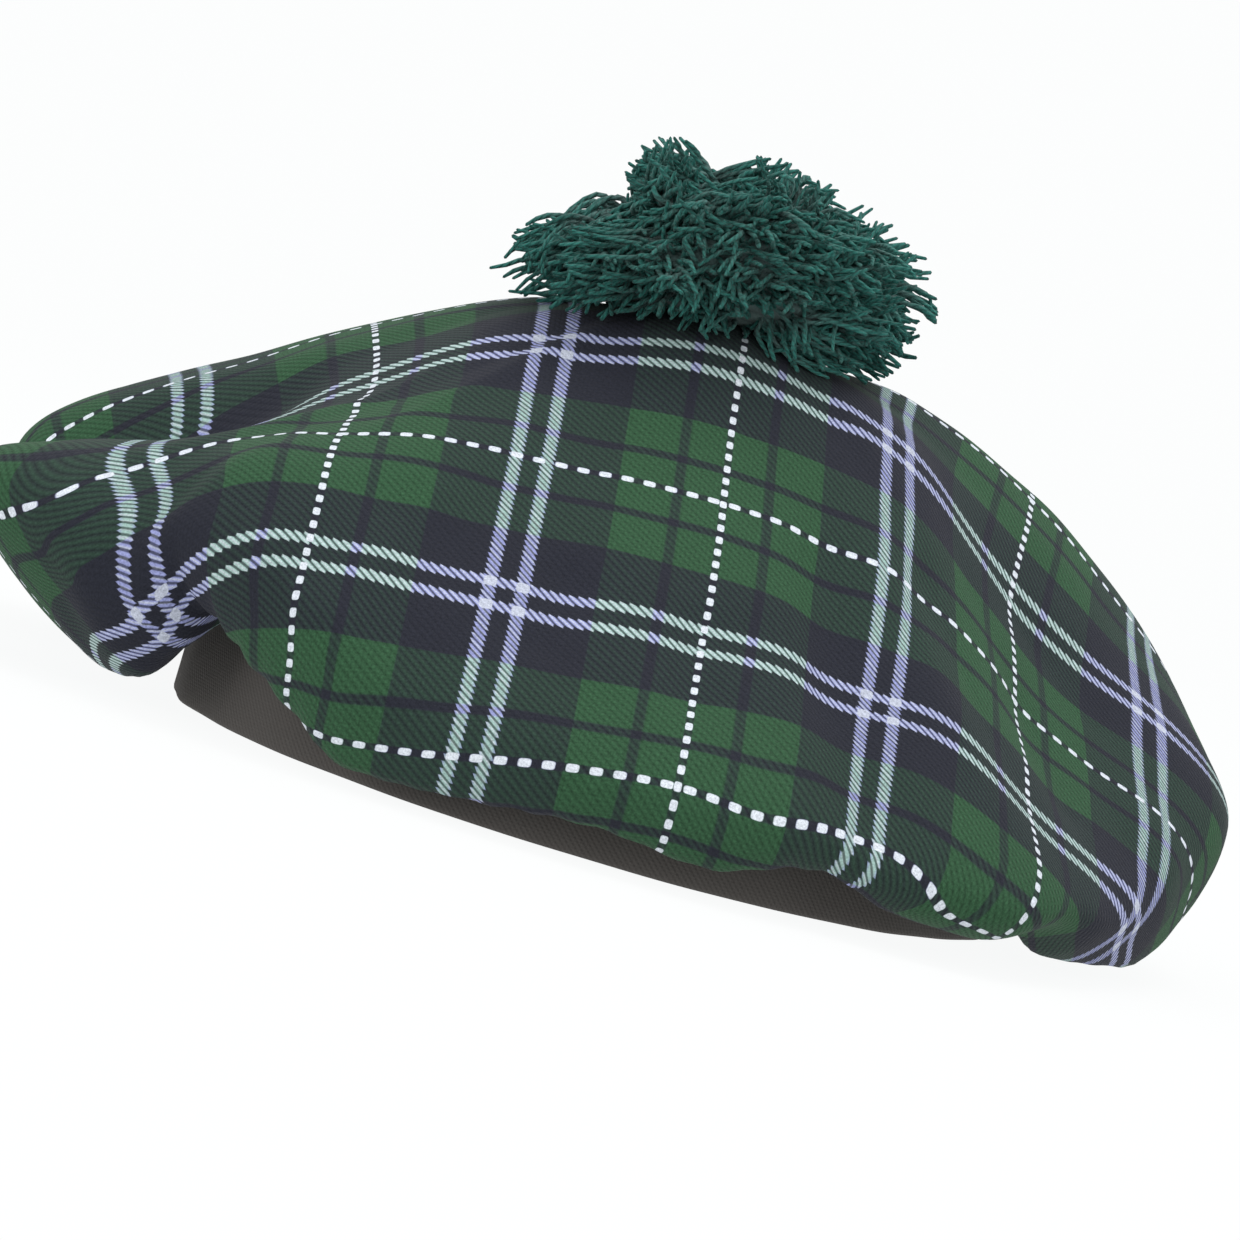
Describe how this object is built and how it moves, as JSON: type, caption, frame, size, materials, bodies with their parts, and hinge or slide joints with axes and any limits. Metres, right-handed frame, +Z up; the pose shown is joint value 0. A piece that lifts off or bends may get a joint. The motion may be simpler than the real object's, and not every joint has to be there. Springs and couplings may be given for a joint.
{
  "type": "tam o' shanter",
  "caption": "Soft flat cap: a hollow tartan crown slumping over an oval headband that it stands on, with a yarn pompom on the middle of the crown.",
  "frame": {"origin": "on the ground under the middle of the whole hat's bounding box", "axes": "+Z up through the crown, +X to the right of the hat seen from its front, -Y towards its front"},
  "size_m": [0.2526, 0.2448, 0.1347],
  "materials": {
    "tartan": "woven twill tartan: green and navy with thin white lines, matt",
    "band_cloth": "plain black woven cloth, matt",
    "yarn": "dark bottle green acrylic yarn, cut ends, matt"
  },
  "bodies": {
    "root": {"crown": "tartan", "headband": "band_cloth", "pompom": "yarn"}
  },
  "joints": []
}
